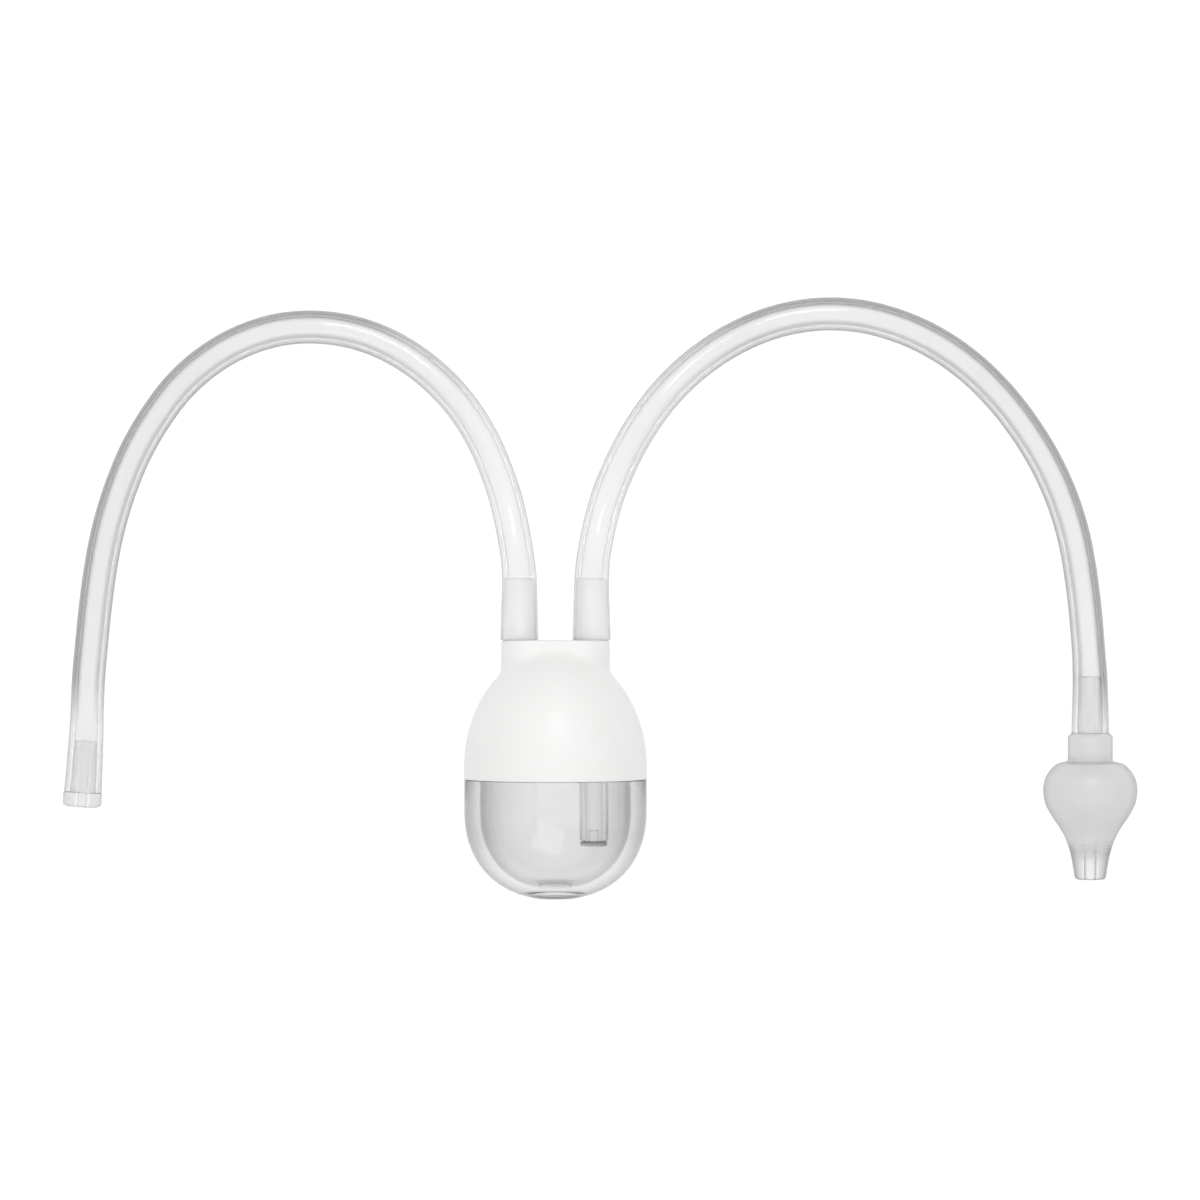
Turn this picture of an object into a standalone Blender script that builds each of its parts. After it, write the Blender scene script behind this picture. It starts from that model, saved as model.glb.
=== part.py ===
"""A mouth-suction nasal aspirator, lying flat on a table.

The white cap and the clear cup under it lie along Y, with the cap's two hose spigots towards +Y.
One hose runs in an arc to the mouthpiece on the -X side, and the other to the nose tip on the +X side.
World frame: metres, +Z up, origin on the table under the middle of the cap and cup.

Turned pieces are drawn upright, with their axis on local Z. Three empties then lay them down:
`body_axis` (cap, cup and what is in them, z = 0 at the parting line between cap and cup, cup below),
`mouthpiece_axis` and `nose_tip_axis` (z = 0 at the hose's end, local +Z into the hose).
"""

import math

import bmesh
import bpy
from mathutils import Matrix, Vector

MM = 0.001

# ---- Driving dimensions ---------------------------------------------------------------------------
GAP = 0.3 * MM                      # between meshes that touch on the real object
TURN_STEPS = 48                     # facets round the cap and cup
SMALL_TURN_STEPS = 24               # facets round the small turned pieces

CAP_RADIUS = 19.0 * MM
CAP_WALL = 1.6 * MM
DOME_START = 2.4 * MM               # the dome is an ellipse above this height
DOME_RISE = 24.4 * MM
CAP_CEILING = 21.0 * MM             # flat ceiling inside the cap
NECK_TOP = 28.8 * MM
NECK_HALF_WIDTH = 11.3 * MM
NECK_HALF_DEPTH = 5.6 * MM
SPIGOT_X = 7.5 * MM
SPIGOT_LENGTH = 12.9 * MM
SPIGOT_TIP_RADIUS = 2.5 * MM
SPIGOT_ROOT_RADIUS = 2.8 * MM
SPIGOT_BORE_RADIUS = 1.6 * MM

CUP_RADIUS = 18.95 * MM
CUP_DEPTH = 24.7 * MM               # parting line to the small flat base
CUP_ROUND_START = 6.6 * MM          # below this depth the outline is a superellipse
CUP_ROUND_DROP = 18.5 * MM
CUP_ROUND_POWER = 2.2
CUP_NECK_HEIGHT = 7.0 * MM          # the neck stands up inside the cap
CUP_NECK_RADIUS = CAP_RADIUS - CAP_WALL - 0.35 * MM
CUP_BORE_RADIUS = 15.9 * MM
CUP_INNER_RADIUS = 15.7 * MM
CUP_INNER_DROP = 15.9 * MM
CUP_INNER_DEPTH = 21.8 * MM

SEAL_HEIGHT = 1.5 * MM
SEAL_INNER_RADIUS = 15.7 * MM

DIP_TUBE_X = 8.0 * MM
DIP_TUBE_RADIUS = 3.0 * MM
DIP_TUBE_BORE_RADIUS = 1.95 * MM
DIP_TUBE_END = -12.7 * MM
SOCKET_BOTTOM = 15.0 * MM
SOCKET_RADIUS = 4.5 * MM
SOCKET_TOP_RADIUS = 3.3 * MM        # it narrows upwards to stay inside the dome
LUG_HALF_WIDTH = 1.5 * MM
LUG_REACH = 4.3 * MM                # how far the hinge lug reaches from the dip tube's axis
LUG_LENGTH = 2.6 * MM
FLAP_RADIUS = 2.8 * MM
FLAP_THICKNESS = 0.8 * MM

HOSE_RADIUS = 3.5 * MM
HOSE_WALL = 0.75 * MM
HOSE_FLARE = 1.13                   # how much a hose widens where it is pushed on
HOSE_SAMPLES = 38
HOSE_BEVEL_RESOLUTION = 4
FLARE_LENGTH = 12.0 * MM

MOUTHPIECE_ANGLE = math.radians(3.5)
INSERT_LENGTH = 10.8 * MM
INSERT_TIP_RADIUS = 2.5 * MM
INSERT_ROOT_RADIUS = 2.85 * MM
INSERT_BORE_RADIUS = 1.1 * MM
FLANGE_RADIUS = 4.1 * MM
FLANGE_THICKNESS = 3.1 * MM

CONNECTOR_HOSE_LENGTH = 11.8 * MM
CONNECTOR_TIP_LENGTH = 10.5 * MM
NOSE_TIP_LENGTH = 30.7 * MM
NOSE_TIP_END_BORE = 1.3 * MM

# Points on the nose tip's outside: distance below the top of its cuff, radius.
NOSE_TIP_OUTLINE = [
    (0.0 * MM, 3.9 * MM), (0.7 * MM, 4.65 * MM), (5.6 * MM, 4.7 * MM), (6.5 * MM, 7.0 * MM),
    (8.3 * MM, 8.8 * MM), (11.8 * MM, 9.85 * MM), (15.6 * MM, 9.0 * MM), (19.0 * MM, 7.0 * MM),
    (22.0 * MM, 5.2 * MM), (25.5 * MM, 4.1 * MM), (29.5 * MM, 3.35 * MM),
]

PARTING_Y = (CUP_DEPTH - NECK_TOP - SPIGOT_LENGTH) / 2
SPIGOT_ROOT_Y = PARTING_Y + NECK_TOP
HOSE_START_Y = SPIGOT_ROOT_Y + GAP
MOUTHPIECE_AT = Vector((-99.7, -11.8, 4.15)) * MM
NOSE_TIP_AT = Vector((111.9, 0.8, 9.9)) * MM

# The hoses' centre lines, cap end first: off the spigot, down to the table, round and to the far end.
# Millimetres in the world frame. The first and last points come from the pieces that they meet.
SUCTION_ROUTE_MM = [
    (-7.5, 26.5, 19.0), (-7.5, 33.0, 19.0), (-8.2, 39.5, 18.5), (-10.1, 48.6, 16.1),
    (-12.6, 56.1, 12.9), (-15.9, 63.3, 9.5), (-20.5, 70.2, 6.6), (-26.4, 76.3, 4.7),
    (-33.3, 81.2, 3.8), (-41.2, 84.6, 3.6), (-49.8, 86.1, 3.6), (-58.3, 85.6, 3.6),
    (-66.3, 83.1, 3.6), (-73.4, 79.0, 3.6), (-79.5, 73.6, 3.6), (-84.3, 67.3, 3.6),
    (-88.2, 60.7, 3.6), (-91.1, 54.1, 3.6), (-93.4, 47.3, 3.6), (-95.1, 40.5, 3.6),
    (-96.3, 33.6, 3.6), (-97.2, 26.6, 3.6), (-97.9, 19.6, 3.7), (-98.5, 12.6, 3.9),
    (-98.8, 5.6, 4.1), (-99.05, -1.0, 4.15),
]
NASAL_ROUTE_MM = [
    (7.5, 26.5, 19.0), (7.5, 33.0, 19.0), (8.2, 39.5, 18.5), (10.3, 48.6, 16.1),
    (13.3, 56.4, 12.5), (17.2, 63.9, 9.0), (22.4, 71.3, 6.3), (28.9, 77.8, 4.6),
    (36.7, 83.2, 3.8), (45.4, 87.0, 3.6), (54.6, 88.8, 3.6), (63.8, 88.5, 3.6),
    (72.6, 86.2, 3.6), (80.6, 82.4, 3.6), (87.7, 77.3, 3.6), (93.8, 71.2, 3.7),
    (99.0, 64.4, 3.9), (103.3, 57.2, 4.3), (106.6, 49.6, 5.0), (108.9, 41.6, 6.1),
    (110.3, 33.0, 7.4), (111.2, 24.0, 8.7), (111.8, 14.0, 9.7), (111.9, 7.0, 9.9),
]


# ---- Helpers --------------------------------------------------------------------------------------
def clear_scene():
    for obj in list(bpy.data.objects):
        bpy.data.objects.remove(obj, do_unlink=True)


def new_collection(name):
    collection = bpy.data.collections.new(name)
    bpy.context.scene.collection.children.link(collection)
    return collection


def plastic(name, colour, roughness, alpha=1.0):
    material = bpy.data.materials.new(name)
    material.use_nodes = True
    shader = material.node_tree.nodes["Principled BSDF"]
    shader.inputs["Base Color"].default_value = (*colour, 1.0)
    shader.inputs["Roughness"].default_value = roughness
    shader.inputs["Metallic"].default_value = 0.0
    shader.inputs["Alpha"].default_value = alpha
    return material


def axis_empty(name, location, rotation):
    empty = bpy.data.objects.new(name, None)
    empty.location = location
    empty.rotation_euler = rotation
    PARTS.objects.link(empty)
    return empty


def add_piece(name, mesh, parent, material):
    piece = bpy.data.objects.new(name, mesh)
    piece.parent = parent
    mesh.materials.append(material)
    PARTS.objects.link(piece)
    return piece


def add_tool(name, mesh, parent):
    """A cutting or joining shape for a Boolean, kept out of the build."""
    tool = bpy.data.objects.new(name, mesh)
    tool.parent = parent
    tool.hide_render = True
    tool.display_type = 'WIRE'
    TOOLS.objects.link(tool)
    return tool


def combine(piece, tool, operation):
    boolean = piece.modifiers.new(tool.name, 'BOOLEAN')
    boolean.operation = operation
    boolean.object = tool


def turn(piece, steps):
    """Sweep the piece's outline a full turn about its own Z axis."""
    screw = piece.modifiers.new("Turn", 'SCREW')
    screw.steps = steps
    screw.render_steps = steps
    screw.use_merge_vertices = True
    screw.merge_threshold = 0.00001
    screw.use_smooth_shade = True


def outline_mesh(name, points, closed=False):
    """Points are (radius, height). A hollow piece's outline goes up its inside and down its outside."""
    mesh = bpy.data.meshes.new(name)
    vertices = [(radius, 0.0, height) for radius, height in points]
    edges = [(i, i + 1) for i in range(len(points) - 1)]
    if closed:
        edges.append((len(points) - 1, 0))
    mesh.from_pydata(vertices, edges, [])
    return mesh


def cone_mesh(name, low_radius, high_radius, low, high, x=0.0):
    mesh = bpy.data.meshes.new(name)
    shape = bmesh.new()
    bmesh.ops.create_cone(shape, cap_ends=True, segments=SMALL_TURN_STEPS,
                          radius1=low_radius, radius2=high_radius, depth=high - low)
    bmesh.ops.translate(shape, verts=shape.verts, vec=(x, 0.0, (low + high) / 2))
    shape.to_mesh(mesh)
    shape.free()
    return mesh


def box_mesh(name, low, high):
    mesh = bpy.data.meshes.new(name)
    shape = bmesh.new()
    bmesh.ops.create_cube(shape, size=1.0)
    size = Vector(high) - Vector(low)
    bmesh.ops.scale(shape, verts=shape.verts, vec=size)
    bmesh.ops.translate(shape, verts=shape.verts, vec=(Vector(low) + Vector(high)) / 2)
    shape.to_mesh(mesh)
    shape.free()
    return mesh


def quarter_round(radius, power, start, drop, end, count, sign):
    """Outline points of a superellipse from height start to height end, sign +1 up or -1 down."""
    points = []
    reach = math.acos(1.0 - (end - start) / drop)
    for i in range(count + 1):
        along = drop * (1.0 - math.cos(reach * i / count))
        share = min(along / drop, 1.0)
        points.append((radius * (1.0 - share ** power) ** (1.0 / power), sign * (start + along)))
    return points


def smooth_curve(points, samples):
    """Evenly spaced points on a Catmull-Rom curve through the given points."""
    fine = []
    ends = [points[0] * 2 - points[1], *points, points[-1] * 2 - points[-2]]
    for before, start, end, after in zip(ends, ends[1:], ends[2:], ends[3:]):
        for step in range(20):
            t = step / 20
            fine.append(0.5 * (2 * start + (end - before) * t
                               + (2 * before - 5 * start + 4 * end - after) * t * t
                               + (3 * start - before - 3 * end + after) * t * t * t))
    fine.append(points[-1])
    travelled = [0.0]
    for start, end in zip(fine, fine[1:]):
        travelled.append(travelled[-1] + (end - start).length)
    even = []
    index = 0
    for sample in range(samples):
        target = travelled[-1] * sample / (samples - 1)
        while index < len(fine) - 2 and travelled[index + 1] < target:
            index += 1
        share = (target - travelled[index]) / (travelled[index + 1] - travelled[index])
        even.append(fine[index].lerp(fine[index + 1], min(share, 1.0)))
    return even, travelled[-1]


# ---- Cap and what it holds ------------------------------------------------------------------------
def make_cap():
    outside = quarter_round(CAP_RADIUS, 2.0, DOME_START, DOME_RISE, DOME_START + DOME_RISE, 12, 1)
    inner_radius = CAP_RADIUS - CAP_WALL
    inside = quarter_round(inner_radius, 2.0, DOME_START, DOME_RISE - 2 * MM, CAP_CEILING, 8, 1)
    step_height = CUP_NECK_HEIGHT + SEAL_HEIGHT + 2 * GAP
    inside = [point for point in inside if point[1] > step_height]
    step_radius = inner_radius - 0.8 * MM
    outline = [(0.0, CAP_CEILING)]
    outline += reversed(inside)
    outline += [(step_radius, step_height), (inner_radius, step_height), (inner_radius, 0.0)]
    outline += [(CAP_RADIUS, 0.0), *outside]
    outline.reverse()
    cap = add_piece("cap", outline_mesh("cap", outline), BODY_AXIS, WHITE_PLASTIC)
    turn(cap, TURN_STEPS)
    combine(cap, add_tool("neck_block", neck_mesh(), BODY_AXIS), 'UNION')
    socket = cone_mesh("socket_boss", SOCKET_RADIUS, SOCKET_TOP_RADIUS, SOCKET_BOTTOM,
                       CAP_CEILING + 0.6 * MM, DIP_TUBE_X)
    combine(cap, add_tool("socket_boss", socket, BODY_AXIS), 'UNION')
    hole = cone_mesh("socket_hole", DIP_TUBE_RADIUS + GAP, DIP_TUBE_RADIUS + GAP,
                     SOCKET_BOTTOM - 1 * MM, CAP_CEILING - GAP, DIP_TUBE_X)
    combine(cap, add_tool("socket_hole", hole, BODY_AXIS), 'DIFFERENCE')
    for side, x in (("suction", -SPIGOT_X), ("nasal", SPIGOT_X)):
        spigot = cone_mesh(side + "_spigot", SPIGOT_ROOT_RADIUS, SPIGOT_TIP_RADIUS,
                           NECK_TOP - 1 * MM, NECK_TOP + SPIGOT_LENGTH, x)
        combine(cap, add_tool(side + "_spigot", spigot, BODY_AXIS), 'UNION')
        bore = cone_mesh(side + "_bore", SPIGOT_BORE_RADIUS, SPIGOT_BORE_RADIUS,
                         CAP_CEILING - 2 * MM, NECK_TOP + SPIGOT_LENGTH + 1 * MM, x)
        combine(cap, add_tool(side + "_bore", bore, BODY_AXIS), 'DIFFERENCE')


def neck_mesh():
    """The flattened neck: a round-ended block, its ends the arcs of two cylinders."""
    mesh = bpy.data.meshes.new("neck_block")
    shape = bmesh.new()
    centre = NECK_HALF_WIDTH - NECK_HALF_DEPTH
    arc = SMALL_TURN_STEPS // 2
    ring = []
    for side, first in ((1, -math.pi / 2), (-1, math.pi / 2)):
        for i in range(arc + 1):
            angle = first + math.pi * i / arc
            x = side * centre + NECK_HALF_DEPTH * math.cos(angle)
            ring.append(shape.verts.new((x, NECK_HALF_DEPTH * math.sin(angle), CAP_CEILING + 0.5 * MM)))
    base = shape.faces.new(ring)
    raised = bmesh.ops.extrude_face_region(shape, geom=[base])["geom"]
    top = [item for item in raised if isinstance(item, bmesh.types.BMVert)]
    bmesh.ops.translate(shape, verts=top, vec=(0.0, 0.0, NECK_TOP - CAP_CEILING - 0.5 * MM))
    bmesh.ops.recalc_face_normals(shape, faces=shape.faces)
    shape.to_mesh(mesh)
    shape.free()
    return mesh


def make_cup():
    inside = quarter_round(CUP_INNER_RADIUS, CUP_ROUND_POWER, CUP_ROUND_START, CUP_INNER_DROP,
                           CUP_INNER_DEPTH, 9, -1)
    outside = quarter_round(CUP_RADIUS, CUP_ROUND_POWER, CUP_ROUND_START, CUP_ROUND_DROP,
                            CUP_DEPTH, 11, -1)
    outline = [(0.0, -CUP_INNER_DEPTH), *reversed(inside), (CUP_BORE_RADIUS, CUP_NECK_HEIGHT)]
    outline += [(CUP_NECK_RADIUS, CUP_NECK_HEIGHT), (CUP_NECK_RADIUS, -GAP), (CUP_RADIUS, -GAP)]
    outline += [*outside, (0.0, -CUP_DEPTH)]
    cup = add_piece("cup", outline_mesh("cup", outline), BODY_AXIS, CLEAR_PLASTIC)
    turn(cup, TURN_STEPS)


def make_seal_ring():
    low = CUP_NECK_HEIGHT + GAP
    high = low + SEAL_HEIGHT
    outline = [(SEAL_INNER_RADIUS, low), (SEAL_INNER_RADIUS, high), (CUP_NECK_RADIUS, high),
               (CUP_NECK_RADIUS, low)]
    ring = add_piece("seal_ring", outline_mesh("seal_ring", outline, True), BODY_AXIS, SILICONE)
    turn(ring, TURN_STEPS)


def make_dip_tube():
    top = CAP_CEILING - 2 * GAP
    outline = [(DIP_TUBE_BORE_RADIUS, DIP_TUBE_END), (DIP_TUBE_BORE_RADIUS, top),
               (DIP_TUBE_RADIUS, top), (DIP_TUBE_RADIUS, DIP_TUBE_END)]
    tube = add_piece("dip_tube", outline_mesh("dip_tube", outline, True), BODY_AXIS, FROSTED_PLASTIC)
    tube.location.x = DIP_TUBE_X
    turn(tube, SMALL_TURN_STEPS)
    overlap = 0.5 * MM
    lug = box_mesh("hinge_lug", (-LUG_HALF_WIDTH, DIP_TUBE_RADIUS - overlap, DIP_TUBE_END),
                   (LUG_HALF_WIDTH, LUG_REACH, DIP_TUBE_END + LUG_LENGTH))
    tool = add_tool("hinge_lug", lug, BODY_AXIS)
    tool.location.x = DIP_TUBE_X
    combine(tube, tool, 'UNION')


def make_backflow_flap():
    """A silicone disc over the dip tube's end, on a tongue that bends under the tube's lug."""
    hinge = Vector((DIP_TUBE_X, LUG_REACH, DIP_TUBE_END - GAP))
    mesh = cone_mesh("backflow_flap", FLAP_RADIUS, FLAP_RADIUS, -FLAP_THICKNESS, 0.0)
    mesh.transform(Matrix.Translation((0.0, -LUG_REACH, 0.0)))
    flap = add_piece("backflow_flap", mesh, BODY_AXIS, SILICONE)
    flap.location = hinge
    tongue = box_mesh("flap_tongue", (-LUG_HALF_WIDTH, -LUG_REACH + 1 * MM, -FLAP_THICKNESS),
                      (LUG_HALF_WIDTH, 0.0, 0.0))
    tool = add_tool("flap_tongue", tongue, BODY_AXIS)
    tool.location = hinge
    combine(flap, tool, 'UNION')


# ---- Hoses and what is on them --------------------------------------------------------------------
def make_hose(name, start, route_mm, end):
    """A silicone tube along its route, wider where it is pushed on at either end."""
    route = [start, *(Vector(point) * MM for point in route_mm), end]
    points, length = smooth_curve(route, HOSE_SAMPLES)
    curve = bpy.data.curves.new(name, 'CURVE')
    curve.dimensions = '3D'
    curve.bevel_depth = HOSE_RADIUS
    curve.bevel_resolution = HOSE_BEVEL_RESOLUTION
    spline = curve.splines.new('POLY')
    spline.points.add(len(points) - 1)
    for i, point in enumerate(points):
        from_end = length * min(i, HOSE_SAMPLES - 1 - i) / (HOSE_SAMPLES - 1)
        share = max(0.0, 1.0 - from_end / FLARE_LENGTH)
        spline.points[i].co = (*point, 1.0)
        spline.points[i].radius = 1.0 + (HOSE_FLARE - 1.0) * share
    hose = bpy.data.objects.new(name, curve)
    curve.materials.append(SILICONE)
    PARTS.objects.link(hose)
    wall = hose.modifiers.new("Wall", 'SOLIDIFY')
    wall.thickness = HOSE_WALL
    wall.offset = -1.0


def make_mouthpiece():
    """A stepped tube: the insert inside the hose, and the flange that the lips close on."""
    chamfer = 0.8 * MM
    outline = [
        (INSERT_BORE_RADIUS, -FLANGE_THICKNESS), (INSERT_BORE_RADIUS, INSERT_LENGTH),
        (INSERT_TIP_RADIUS, INSERT_LENGTH), (INSERT_ROOT_RADIUS, 0.0), (FLANGE_RADIUS, 0.0),
        (FLANGE_RADIUS, chamfer - FLANGE_THICKNESS), (FLANGE_RADIUS - chamfer, -FLANGE_THICKNESS),
    ]
    mesh = outline_mesh("mouthpiece", outline, True)
    turn(add_piece("mouthpiece", mesh, MOUTHPIECE_AXIS, FROSTED_PLASTIC), SMALL_TURN_STEPS)


def make_tip_connector():
    outline = [
        (INSERT_BORE_RADIUS, -CONNECTOR_TIP_LENGTH), (INSERT_BORE_RADIUS, CONNECTOR_HOSE_LENGTH),
        (INSERT_TIP_RADIUS, CONNECTOR_HOSE_LENGTH), (INSERT_ROOT_RADIUS, 0.0),
        (INSERT_TIP_RADIUS, -CONNECTOR_TIP_LENGTH),
    ]
    mesh = outline_mesh("tip_connector", outline, True)
    turn(add_piece("tip_connector", mesh, NOSE_TIP_AXIS, FROSTED_PLASTIC), SMALL_TURN_STEPS)


def make_nose_tip():
    """A soft bulb with a cuff that grips the connector and a narrow bore out of its rounded end."""
    socket_radius = INSERT_ROOT_RADIUS + GAP
    socket_depth = CONNECTOR_TIP_LENGTH + GAP
    end_radius = NOSE_TIP_OUTLINE[-1][1]
    outline = [
        (NOSE_TIP_END_BORE, -NOSE_TIP_LENGTH), (NOSE_TIP_END_BORE, -socket_depth - 1.5 * MM),
        (socket_radius, -socket_depth), (socket_radius, -GAP),
    ]
    outline += [(radius, -GAP - depth) for depth, radius in NOSE_TIP_OUTLINE]
    outline += [(end_radius - 0.5 * MM, -NOSE_TIP_LENGTH)]
    mesh = outline_mesh("nose_tip", outline, True)
    turn(add_piece("nose_tip", mesh, NOSE_TIP_AXIS, SILICONE), TURN_STEPS)


clear_scene()
PARTS = new_collection("nasal_aspirator")
TOOLS = new_collection("shaping_tools")

WHITE_PLASTIC = plastic("white_polypropylene", (0.86, 0.86, 0.85), 0.4)
CLEAR_PLASTIC = plastic("clear_polypropylene", (0.85, 0.87, 0.88), 0.1, 0.35)
FROSTED_PLASTIC = plastic("natural_polypropylene", (0.80, 0.81, 0.82), 0.35, 0.6)
SILICONE = plastic("clear_silicone", (0.82, 0.83, 0.83), 0.3, 0.5)

BODY_AXIS = axis_empty("body_axis", (0.0, PARTING_Y, CAP_RADIUS), (-math.pi / 2, 0.0, 0.0))
MOUTHPIECE_AXIS = axis_empty("mouthpiece_axis", MOUTHPIECE_AT, (-math.pi / 2, 0.0, -MOUTHPIECE_ANGLE))
NOSE_TIP_AXIS = axis_empty("nose_tip_axis", NOSE_TIP_AT, (-math.pi / 2, 0.0, 0.0))

make_cap()
make_cup()
make_seal_ring()
make_dip_tube()
make_backflow_flap()

MOUTHPIECE_INWARD = Vector((math.sin(MOUTHPIECE_ANGLE), math.cos(MOUTHPIECE_ANGLE), 0.0))
make_hose("suction_hose", Vector((-SPIGOT_X, HOSE_START_Y, CAP_RADIUS)), SUCTION_ROUTE_MM,
          MOUTHPIECE_AT + GAP * MOUTHPIECE_INWARD)
make_hose("nasal_hose", Vector((SPIGOT_X, HOSE_START_Y, CAP_RADIUS)), NASAL_ROUTE_MM,
          NOSE_TIP_AT + Vector((0.0, GAP, 0.0)))
make_mouthpiece()
make_tip_connector()
make_nose_tip()
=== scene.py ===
"""Nasal aspirator: the finished pieces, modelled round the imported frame.

The file is laid out as a Blender add-on. Run as a script, it registers its classes, makes the stage
and every piece in turn, and leaves the pieces riding on the frame's bodies.
Turned pieces are drawn upright, with their axis on Z, and are then laid along the axis that they
have in the frame, with that place applied to their mesh.
"""

import math

import bmesh
import bpy
from bpy.props import FloatProperty, IntProperty, PointerProperty, StringProperty
from mathutils import Matrix, Vector


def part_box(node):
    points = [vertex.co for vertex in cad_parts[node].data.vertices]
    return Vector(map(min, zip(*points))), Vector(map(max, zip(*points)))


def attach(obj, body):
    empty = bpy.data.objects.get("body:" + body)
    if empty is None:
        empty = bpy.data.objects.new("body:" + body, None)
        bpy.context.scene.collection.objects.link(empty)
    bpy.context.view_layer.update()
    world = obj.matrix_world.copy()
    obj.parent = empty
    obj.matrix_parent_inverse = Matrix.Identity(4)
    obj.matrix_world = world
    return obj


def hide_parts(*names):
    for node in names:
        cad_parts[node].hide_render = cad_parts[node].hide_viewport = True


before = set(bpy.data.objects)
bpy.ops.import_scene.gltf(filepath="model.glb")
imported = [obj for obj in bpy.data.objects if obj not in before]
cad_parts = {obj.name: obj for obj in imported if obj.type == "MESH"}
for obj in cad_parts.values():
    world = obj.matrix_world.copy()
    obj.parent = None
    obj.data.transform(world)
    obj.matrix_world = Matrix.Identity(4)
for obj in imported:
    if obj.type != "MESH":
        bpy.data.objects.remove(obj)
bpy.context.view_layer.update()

bl_info = {
    "name": "Nasal Aspirator",
    "version": (1, 0, 0),
    "blender": (4, 5, 0),
    "location": "3D View > Sidebar > Aspirator",
    "description": "Builds a mouth-suction nasal aspirator with a clear cup and two silicone hoses",
    "category": "Add Mesh",
}

MM = 0.001
SMOOTH_ANGLE = math.radians(35.0)
CORE = 0.5 * MM                                 # small flat that closes a solid's outline on its axis
SEAM = 0.1 * MM                                 # gap in a ring's outline, on a wall, which bridging closes

# ---- Where the frame puts things ------------------------------------------------------------------
CAP_LOW, CAP_HIGH = (Vector(corner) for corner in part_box("cap"))
CUP_LOW, CUP_HIGH = (Vector(corner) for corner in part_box("cup"))
TUBE_LOW, TUBE_HIGH = (Vector(corner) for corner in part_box("dip_tube"))
TIP_LOW, TIP_HIGH = (Vector(corner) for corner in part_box("nose_tip"))
CONNECTOR_LOW, CONNECTOR_HIGH = (Vector(corner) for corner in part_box("tip_connector"))

CAP_RADIUS = (CAP_HIGH.x - CAP_LOW.x) / 2
AXIS_HEIGHT = (CAP_HIGH.z + CAP_LOW.z) / 2
PARTING_Y = CAP_LOW.y
CAP_HEIGHT = CAP_HIGH.y - CAP_LOW.y
CUP_RADIUS = (CUP_HIGH.x - CUP_LOW.x) / 2
CUP_DEPTH = PARTING_Y - CUP_LOW.y
CUP_NECK_HEIGHT = CUP_HIGH.y - PARTING_Y
NECK_TOP = 28.8 * MM                            # the cap's flat top, where the spigots start
DIP_TUBE_RADIUS = (TUBE_HIGH.x - TUBE_LOW.x) / 2
DIP_TUBE_X = (TUBE_HIGH.x + TUBE_LOW.x) / 2
DIP_TUBE_TOP = TUBE_HIGH.y - PARTING_Y
DIP_TUBE_END = TUBE_LOW.y - PARTING_Y
TIP_X = (TIP_HIGH.x + TIP_LOW.x) / 2
TIP_AXIS_HEIGHT = (TIP_HIGH.z + TIP_LOW.z) / 2
TIP_TOP_Y = TIP_HIGH.y + 0.3 * MM
TIP_LENGTH = TIP_TOP_Y - TIP_LOW.y
TIP_RADIUS = (TIP_HIGH.x - TIP_LOW.x) / 2
CONNECTOR_UP = CONNECTOR_HIGH.y - TIP_TOP_Y
CONNECTOR_DOWN = TIP_TOP_Y - CONNECTOR_LOW.y
MOUTHPIECE_AT = Vector((-99.7, -11.8, 4.15)) * MM
MOUTHPIECE_ANGLE = math.radians(3.5)

UPRIGHT_TO_LYING = Matrix.Rotation(-math.pi / 2, 4, 'X')
BODY_PLACE = Matrix.Translation((0.0, PARTING_Y, AXIS_HEIGHT)) @ UPRIGHT_TO_LYING
BEND_MIDDLE_X, BEND_MIDDLE_Y = 57 * MM, 30 * MM  # inside the right hose's bend; the left mirrors it
TIP_PLACE = Matrix.Translation((TIP_X, TIP_TOP_Y, TIP_AXIS_HEIGHT)) @ UPRIGHT_TO_LYING
MOUTHPIECE_PLACE = (Matrix.Translation(MOUTHPIECE_AT) @ Matrix.Rotation(-MOUTHPIECE_ANGLE, 4, 'Z')
                    @ UPRIGHT_TO_LYING)

# The hoses' centre lines from the cap to the far end, in millimetres: off the spigot, down to the
# table, round on it and straight into what they are pushed over.
SUCTION_ROUTE_MM = [
    (-7.5, 20.35, 19.0), (-7.5, 26.5, 19.0), (-7.5, 33.0, 19.0), (-8.2, 39.5, 18.5),
    (-10.1, 48.6, 16.1), (-12.6, 56.1, 12.9), (-15.9, 63.3, 9.5), (-20.5, 70.2, 6.6),
    (-26.4, 76.3, 4.7), (-33.3, 81.2, 3.8), (-41.2, 84.6, 3.6), (-49.8, 86.1, 3.6),
    (-58.3, 85.6, 3.6), (-66.3, 83.1, 3.6), (-73.4, 79.0, 3.6), (-79.5, 73.6, 3.6),
    (-84.3, 67.3, 3.6), (-88.2, 60.7, 3.6), (-91.1, 54.1, 3.6), (-93.4, 47.3, 3.6),
    (-95.1, 40.5, 3.6), (-96.3, 33.6, 3.6), (-97.2, 26.6, 3.6), (-97.9, 19.6, 3.7),
    (-98.5, 12.6, 3.9), (-98.8, 5.6, 4.1), (-99.05, -1.0, 4.15), (-99.697, -11.75, 4.15),
]
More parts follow.
